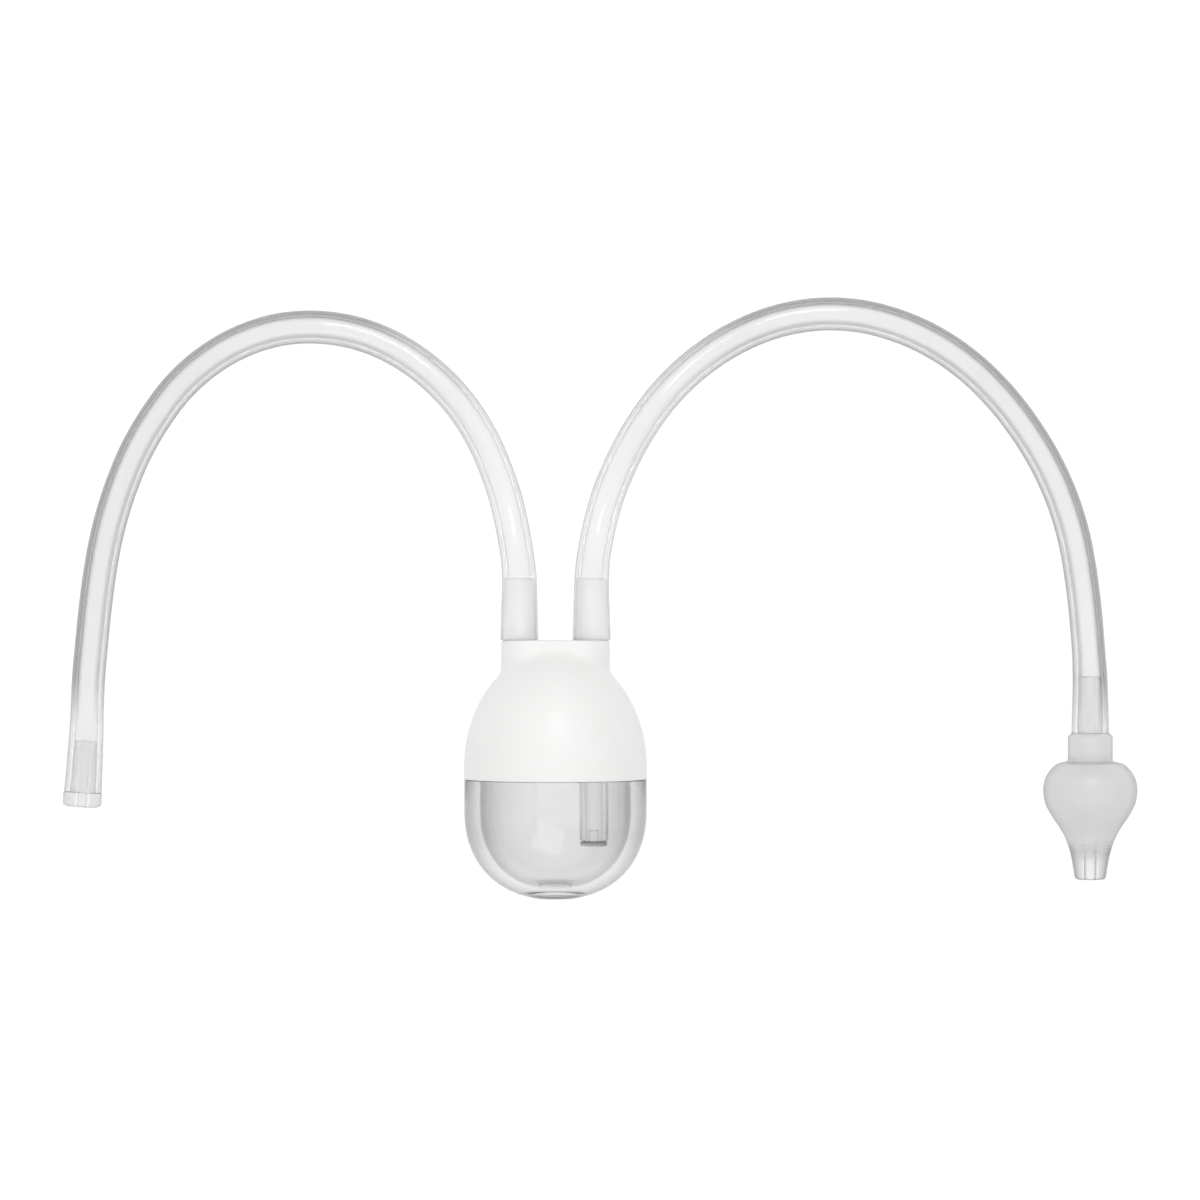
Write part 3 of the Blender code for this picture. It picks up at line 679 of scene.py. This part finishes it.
# ---- Hoses ----------------------------------------------------------------------------------------
class HOSE_OT_aspirator(bpy.types.Operator):
    """Make both silicone hoses along their routes, wider where they are pushed on"""
    bl_idname = "mesh.aspirator_hoses"
    bl_label = "Hoses"

    def execute(self, context):
        sizes = context.scene.aspirator.hose
        for node, body, route in (("suction_hose", "suction_line", SUCTION_ROUTE_MM),
                                  ("nasal_hose", "nasal_line", NASAL_ROUTE_MM)):
            line = flow_curve([Vector(point) * MM for point in route])
            hose = self.make_tube(node + "_tube", line, sizes)
            finish_piece(hose, body, node, extruded_clear_silicone)
        return {'FINISHED'}

    def stretched_radius(self, from_end, sizes):
        """Outside radius near an end: it follows the insert's taper and then eases back to the free hose."""
        if from_end < sizes.grip_length:
            share = from_end / sizes.grip_length
            return sizes.end_radius + (sizes.tip_radius - sizes.end_radius) * share
        share = min((from_end - sizes.grip_length) / sizes.relax_length, 1.0)
        return sizes.tip_radius + (sizes.radius - sizes.tip_radius) * share * share * (3 - 2 * share)

    def make_tube(self, name, line, sizes):
        travelled = [0.0]
        for start, end in zip(line, line[1:]):
            travelled.append(travelled[-1] + (end - start).length)
        curve = bpy.data.curves.new(name, 'CURVE')
        curve.dimensions = '3D'
        curve.bevel_depth = sizes.radius
        curve.bevel_resolution = sizes.sides // 2 - 2
        spline = curve.splines.new('POLY')
        spline.points.add(len(line) - 1)
        for point, place_on_line, run in zip(spline.points, line, travelled):
            from_end = min(run, travelled[-1] - run)
            point.co = (*place_on_line, 1.0)
            point.radius = self.stretched_radius(from_end, sizes) / sizes.radius
        tube = bpy.data.objects.new(name, curve)
        bpy.context.scene.collection.objects.link(tube)
        select_only(tube)
        bpy.ops.object.convert(target='MESH')
        tube = bpy.context.object
        wall = tube.modifiers.new("Wall", 'SOLIDIFY')
        wall.thickness = sizes.wall
        wall.offset = -1.0
        edge = tube.modifiers.new("Cut edge", 'BEVEL')
        edge.width = sizes.cut_edge
        edge.segments = 2
        edge.limit_method = 'ANGLE'
        edge.angle_limit = math.radians(60.0)
        apply_modifiers(tube)
        return tube


# ---- Cap ------------------------------------------------------------------------------------------
class CAP_OT_aspirator(bpy.types.Operator):
    """Make the white cap with its flattened neck, two spigots and the dip tube's socket"""
    bl_idname = "mesh.aspirator_cap"
    bl_label = "Cap"

    def execute(self, context):
        sizes = context.scene.aspirator.cap
        cap = self.make_shell(sizes)
        combine(cap, turned("cavity", self.cavity_outline(sizes)), 'DIFFERENCE')
        socket = plug(sizes.socket_radius, sizes.socket_low, sizes.socket_top_radius,
                      sizes.ceiling + 0.6 * MM)
        self.add_upright(cap, socket, DIP_TUBE_X, 'UNION')
        hole_radius = DIP_TUBE_RADIUS + 0.1 * MM
        hole = plug(hole_radius, sizes.socket_low - 1 * MM, hole_radius, DIP_TUBE_TOP + 0.3 * MM)
        self.add_upright(cap, hole, DIP_TUBE_X, 'DIFFERENCE')
        for x in (-sizes.spigot_spacing, sizes.spigot_spacing):
            self.add_upright(cap, self.spigot_outline(sizes), x, 'UNION')
            bore = plug(sizes.spigot_bore, sizes.ceiling - 2 * MM, sizes.spigot_bore, CAP_HEIGHT + 1 * MM)
            self.add_upright(cap, bore, x, 'DIFFERENCE')
        place(cap, BODY_PLACE)
        finish_piece(cap, "cap_body", "cap", moulded_white_polypropylene)
        return {'FINISHED'}

    def cavity_outline(self, sizes):
        """From the ceiling down the dome, over the seal ring's step, to the mouth, and out below the rim."""
        inner = CAP_RADIUS - sizes.wall
        seal_top = CUP_NECK_HEIGHT + sizes.seal_room
        step, mouth, below = 0.8 * MM, inner + 0.3 * MM, -1.0 * MM
        dome = round_end(inner, 2.0, sizes.dome_start, sizes.dome_rise - 2 * MM, sizes.ceiling, 16)
        outline = [(CORE, sizes.ceiling)]
        outline += [point for point in reversed(dome) if point[1] > seal_top]
        outline += [(inner - step, seal_top), (inner, seal_top), (inner, 0.4 * MM)]
        outline += [(mouth, -0.1 * MM), (mouth, below), (CORE, below)]
        return outline

    def spigot_outline(self, sizes):
        root = sizes.neck_top - 1.0 * MM
        return rounded([(CORE, root, 0.0), (sizes.spigot_root, root, 0.0),
                        (sizes.spigot_tip, CAP_HEIGHT, 0.45 * MM), (CORE, CAP_HEIGHT, 0.0)])

    def add_upright(self, cap, outline, x, operation):
        tool = turned("upright_tool", outline, sides=64)
        place(tool, Matrix.Translation((x, 0.0, 0.0)))
        combine(cap, tool, operation)

    def neck_radius(self, sizes, angle):
        """Distance from the axis to the neck's round-ended outline in one direction."""
        across, deep = abs(math.cos(angle)), abs(math.sin(angle))
        centre = sizes.neck_half_width - sizes.neck_half_depth
        if deep * centre >= across * sizes.neck_half_depth:
            return sizes.neck_half_depth / deep
        inside = sizes.neck_half_depth ** 2 - (centre * deep) ** 2
        return centre * across + math.sqrt(inside)

    def dome_height(self, sizes, radius):
        """Height of the dome's ellipse at a distance from the axis."""
        return sizes.dome_start + sizes.dome_rise * math.sqrt(1 - (radius / CAP_RADIUS) ** 2)

    def meridian(self, sizes, angle):
        """The cap's outline in one direction: rim, dome, neck and flat top."""
        neck = self.neck_radius(sizes, angle)
        front = abs(math.sin(angle)) ** 2
        blend = sizes.neck_fillet * (1 - front) + sizes.front_fillet * front
        rim_edge, neck_edge = 0.15 * MM, 0.7 * MM
        dome_steps, blend_steps = 24, 8
        corners = [(CAP_RADIUS - 1.2 * MM, 0.0, 0.0), (CAP_RADIUS, 0.0, rim_edge)]
        turn = math.acos((neck + blend) / CAP_RADIUS)
        for step in range(dome_steps + 1):
            radius = CAP_RADIUS * math.cos(turn * step / dome_steps)
            corners.append((radius, self.dome_height(sizes, radius), 0.0))
        foot = Vector((neck + blend, self.dome_height(sizes, neck + blend)))
        corner = Vector((neck, self.dome_height(sizes, neck)))
        head = corner + Vector((0.0, min(blend, 0.6 * (sizes.neck_top - corner.y))))
        for step in range(1, blend_steps + 1):
            t = step / blend_steps
            point = foot * (1 - t) ** 2 + corner * 2 * t * (1 - t) + head * t * t
            corners.append((point.x, point.y, 0.0))
        corners.append((neck, sizes.neck_top, neck_edge))
        corners.append((neck / 2, sizes.neck_top, 0.0))
        corners.append((CORE, sizes.neck_top, 0.0))
        return rounded(corners)

    def make_shell(self, sizes):
        """A circle is extruded once for each outline point, and each ring is fitted to the meridians."""
        sides = 160
        full_turn = 2 * math.pi
        select_only()
        bpy.ops.mesh.primitive_circle_add(vertices=sides, radius=CAP_RADIUS)
        cap = bpy.context.object
        cap.name = "cap_shell"
        outlines = {}
        for vertex in cap.data.vertices:
            angle = math.atan2(vertex.co.y, vertex.co.x)
            outlines[round(angle * sides / full_turn) % sides] = self.meridian(sizes, angle)
        bpy.ops.object.mode_set(mode='EDIT')
        bpy.ops.mesh.select_all(action='SELECT')
        for ring in range(len(outlines[0])):
            if ring:
                bpy.ops.mesh.extrude_region_move()
            shape = bmesh.from_edit_mesh(cap.data)
            for vertex in shape.verts:
                if vertex.select:
                    angle = math.atan2(vertex.co.y, vertex.co.x)
                    radius, height = outlines[round(angle * sides / full_turn) % sides][ring]
                    vertex.co = (radius * math.cos(angle), radius * math.sin(angle), height)
            bmesh.update_edit_mesh(cap.data)
        close_ends()
        return cap


# ---- Cup and the pieces inside --------------------------------------------------------------------
class CUP_OT_aspirator(bpy.types.Operator):
    """Make the thick-walled clear cup with its neck, rounded end and small flat base"""
    bl_idname = "mesh.aspirator_cup"
    bl_label = "Cup"

    def execute(self, context):
        sizes = context.scene.aspirator.cup
        inside = round_end(sizes.inner_radius, sizes.round_power, sizes.round_start,
                           sizes.inner_drop, sizes.inner_depth, 28)
        outside = round_end(CUP_RADIUS, sizes.round_power, sizes.round_start,
                            sizes.round_drop, CUP_DEPTH, 32)
        floor_edge = inside[-1][0]
        base_edge = outside[-1][0]
        lip, shoulder_edge, base_fillet = 0.3 * MM, 0.15 * MM, 0.3 * MM
        shoulder = -0.06 * MM
        foot_width, dimple_slope = 1.2 * MM, 0.5 * MM
        corners = [(CORE, -sizes.inner_depth, 0.0), (floor_edge - 0.3 * MM, -sizes.inner_depth, 0.0)]
        corners += [(radius, -depth, 0.0) for radius, depth in reversed(inside)]
        corners += [(sizes.bore_radius, CUP_NECK_HEIGHT, lip), (sizes.neck_radius, CUP_NECK_HEIGHT, lip)]
        corners += [(sizes.neck_radius, shoulder, 0.2 * MM), (CUP_RADIUS, shoulder, shoulder_edge)]
        corners += [(radius, -depth, 0.0) for radius, depth in outside[:-1]]
        foot = base_edge - foot_width
        dimple = sizes.base_recess - CUP_DEPTH
        corners += [(base_edge, -CUP_DEPTH, base_fillet), (foot, -CUP_DEPTH, base_fillet)]
        corners += [(foot - dimple_slope, dimple, 0.2 * MM), (CORE, dimple, 0.0)]
        cup = turned("cup_shell", rounded(corners), sides=144)
        place(cup, BODY_PLACE)
        finish_piece(cup, "cup_body", "cup", polished_clear_polypropylene)
        return {'FINISHED'}


class SEAL_OT_aspirator(bpy.types.Operator):
    """Make the silicone ring that the cup's rim closes on"""
    bl_idname = "mesh.aspirator_seal"
    bl_label = "Seal ring"

    def execute(self, context):
        sizes = context.scene.aspirator.inner
        low = CUP_NECK_HEIGHT + sizes.seal_clearance
        high = low + sizes.seal_height
        inner, outer, edge = sizes.seal_inner, sizes.seal_outer, 0.35 * MM
        middle = (low + high) / 2
        outline = rounded([(inner, middle, 0.0), (inner, high, edge), (outer, high, edge),
                           (outer, low, edge), (inner, low, edge), (inner, middle - SEAM, 0.0)])
        ring = turned("seal_ring_moulding", outline, ring=True)
        place(ring, BODY_PLACE)
        finish_piece(ring, "cap_body", "seal_ring", moulded_milky_silicone)
        return {'FINISHED'}


class DIP_TUBE_OT_aspirator(bpy.types.Operator):
    """Make the half-clear dip tube with the lug that holds the flap's tongue"""
    bl_idname = "mesh.aspirator_dip_tube"
    bl_label = "Dip tube"

    def execute(self, context):
        sizes = context.scene.aspirator.inner
        bore, edge = sizes.dip_tube_bore, 0.2 * MM
        middle = (DIP_TUBE_TOP + DIP_TUBE_END) / 2
        outline = rounded([(bore, middle, 0.0), (bore, DIP_TUBE_TOP, edge),
                           (DIP_TUBE_RADIUS, DIP_TUBE_TOP, edge),
                           (DIP_TUBE_RADIUS, DIP_TUBE_END, edge), (bore, DIP_TUBE_END, edge),
                           (bore, middle - SEAM, 0.0)], 3)
        tube = turned("dip_tube_moulding", outline, sides=64, ring=True)
        inside_wall = DIP_TUBE_RADIUS - 0.5 * MM
        lug = rounded_box("hinge_lug", (-sizes.hinge_half_width, inside_wall, DIP_TUBE_END),
                          (sizes.hinge_half_width, sizes.hinge_reach, DIP_TUBE_END + sizes.lug_length),
                          0.25 * MM)
        combine(tube, lug, 'UNION')
        place(tube, BODY_PLACE @ Matrix.Translation((DIP_TUBE_X, 0.0, 0.0)))
        finish_piece(tube, "cap_body", "dip_tube",
                     moulded_natural_polypropylene)
        return {'FINISHED'}


class FLAP_OT_aspirator(bpy.types.Operator):
    """Make the silicone flap that closes the dip tube's end"""
    bl_idname = "mesh.aspirator_flap"
    bl_label = "Backflow flap"

    def execute(self, context):
        sizes = context.scene.aspirator.inner
        radius, thickness, edge = sizes.flap_radius, sizes.flap_thickness, 0.22 * MM
        outline = rounded([(CORE, -thickness, 0.0), (radius, -thickness, edge),
                           (radius, 0.0, edge), (CORE, 0.0, 0.0)], 3)
        flap = turned("flap_moulding", outline, sides=64)
        inset = 0.05 * MM                       # the tongue is this much thinner than the disc on each side
        start = 1.5 * MM                        # it begins this far from the axis, inside the disc
        tongue = rounded_box("flap_tongue", (-sizes.hinge_half_width, start, inset - thickness),
                             (sizes.hinge_half_width, sizes.hinge_reach, -inset), 0.15 * MM)
        combine(flap, tongue, 'UNION')
        place(flap, BODY_PLACE @ Matrix.Translation((DIP_TUBE_X, 0.0, DIP_TUBE_END - sizes.flap_gap)))
        finish_piece(flap, "flap_body", "backflow_flap",
                     moulded_milky_silicone)
        return {'FINISHED'}


# ---- Ends of the hoses ----------------------------------------------------------------------------
class MOUTHPIECE_OT_aspirator(bpy.types.Operator):
    """Make the mouthpiece: an insert inside the hose and a rounded flange for the lips"""
    bl_idname = "mesh.aspirator_mouthpiece"
    bl_label = "Mouthpiece"

    def execute(self, context):
        sizes = context.scene.aspirator.tip
        bore = sizes.insert_bore
        outline = rounded([
            (bore, 0.0, 0.0), (bore, sizes.insert_length, 0.2 * MM),
            (sizes.insert_tip, sizes.insert_length, 0.4 * MM), (sizes.insert_root, 0.0, 0.0),
            (sizes.flange_radius, 0.0, 0.35 * MM), (sizes.flange_radius, -sizes.flange_length, 1.0 * MM),
            (bore, -sizes.flange_length, 0.35 * MM), (bore, -SEAM, 0.0),
        ])
        mouthpiece = turned("mouthpiece_moulding", outline, sides=72, ring=True)
        place(mouthpiece, MOUTHPIECE_PLACE)
        finish_piece(mouthpiece, "mouthpiece_body", "mouthpiece",
                     moulded_natural_polypropylene)
        return {'FINISHED'}


class CONNECTOR_OT_aspirator(bpy.types.Operator):
    """Make the connector that joins the nasal hose to the nose tip"""
    bl_idname = "mesh.aspirator_connector"
    bl_label = "Tip connector"

    def execute(self, context):
        sizes = context.scene.aspirator.tip
        bore = sizes.insert_bore
        outline = rounded([
            (bore, 0.0, 0.0), (bore, CONNECTOR_UP, 0.2 * MM),
            (sizes.insert_tip, CONNECTOR_UP, 0.4 * MM), (sizes.insert_root, 0.0, 1.0 * MM),
            (sizes.insert_tip, -CONNECTOR_DOWN, 0.4 * MM), (bore, -CONNECTOR_DOWN, 0.2 * MM),
            (bore, -SEAM, 0.0),
        ])
        connector = turned("connector_moulding", outline, sides=72, ring=True)
        place(connector, TIP_PLACE)
        finish_piece(connector, "connector_body", "tip_connector",
                     moulded_natural_polypropylene)
        return {'FINISHED'}


class NOSE_TIP_OT_aspirator(bpy.types.Operator):
    """Make the soft bulb nose tip with its cuff and narrow end"""
    bl_idname = "mesh.aspirator_nose_tip"
    bl_label = "Nose tip"

    def execute(self, context):
        sizes = context.scene.aspirator.tip
        cuff = sizes.cuff_radius
        bulb_depths_and_radii_mm = [
            (6.1, cuff / MM + 0.9), (6.6, 7.1), (8.1, 8.6), (9.8, 9.5), (12.0, TIP_RADIUS / MM),
            (14.7, 9.44), (17.2, 8.2), (19.7, 6.54), (22.2, 5.15), (25.5, 4.1), (28.5, 3.55)]
        bulb = flow_curve([Vector((radius, -depth)) * MM for depth, radius in bulb_depths_and_radii_mm], 5)
        socket = sizes.insert_root + 0.1 * MM
        socket_end = -CONNECTOR_DOWN - 0.3 * MM
        funnel_end = socket_end - 1.5 * MM
        seam_at = socket_end - 3 * MM
        chamfer = 0.75 * MM
        corners = [
            (sizes.end_bore, seam_at, 0.0), (sizes.end_bore, funnel_end, 0.5 * MM),
            (socket, socket_end, 0.4 * MM), (socket, 0.0, 0.2 * MM),
            (cuff - chamfer, 0.0, 0.2 * MM), (cuff, -chamfer, 0.4 * MM), (cuff, -5.9 * MM, 0.5 * MM),
        ]
        corners += [(point.x, point.y, 0.0) for point in bulb]
        corners += [(3.2 * MM, -TIP_LENGTH, 0.8 * MM), (sizes.end_bore, -TIP_LENGTH, 0.4 * MM),
                    (sizes.end_bore, seam_at - SEAM, 0.0)]
        tip = turned("nose_tip_moulding", rounded(corners), sides=120, ring=True)
        place(tip, TIP_PLACE)
        finish_piece(tip, "nose_tip_body", "nose_tip", two_finish_moulded_silicone)
        return {'FINISHED'}


class CORDS_OT_aspirator(bpy.types.Operator):
    """An empty step: it returns at once and declares nothing"""
    bl_idname = "scene.aspirator_declare_hoses"
    bl_label = "Declare hoses"

    def execute(self, context):
        return {'FINISHED'}


class VIEW3D_PT_aspirator(bpy.types.Panel):
    """Sidebar panel that lists the pieces and their sizes"""
    bl_label = "Nasal Aspirator"
    bl_idname = "VIEW3D_PT_aspirator"
    bl_space_type = 'VIEW_3D'
    bl_region_type = 'UI'
    bl_category = "Aspirator"

    def draw(self, context):
        settings = context.scene.aspirator
        groups = (settings.cap, settings.cup, settings.inner, settings.hose, settings.tip, settings.colours)
        for group in groups:
            box = self.layout.box()
            for key in group.bl_rna.properties.keys():
                if key not in {"rna_type", "name"}:
                    box.prop(group, key)
        for operator in OPERATORS:
            self.layout.operator(operator.bl_idname)


GROUPS = (CapSizes, CupSizes, InnerSizes, HoseSizes, TipSizes, Colours, AspiratorSettings)
OPERATORS = (
    STAGE_OT_aspirator, HOSE_OT_aspirator, CAP_OT_aspirator, CUP_OT_aspirator, SEAL_OT_aspirator,
    DIP_TUBE_OT_aspirator, FLAP_OT_aspirator, MOUTHPIECE_OT_aspirator, CONNECTOR_OT_aspirator,
    NOSE_TIP_OT_aspirator, CORDS_OT_aspirator,
)
CLASSES = (*GROUPS, *OPERATORS, VIEW3D_PT_aspirator)


def register():
    for item in CLASSES:
        bpy.utils.register_class(item)
    bpy.types.Scene.aspirator = PointerProperty(type=AspiratorSettings)


def unregister():
    del bpy.types.Scene.aspirator
    for item in reversed(CLASSES):
        bpy.utils.unregister_class(item)


def main():
    register()
    for operator in OPERATORS:
        group, name = operator.bl_idname.split(".")
        getattr(getattr(bpy.ops, group), name)()


if __name__ == "__main__":
    main()
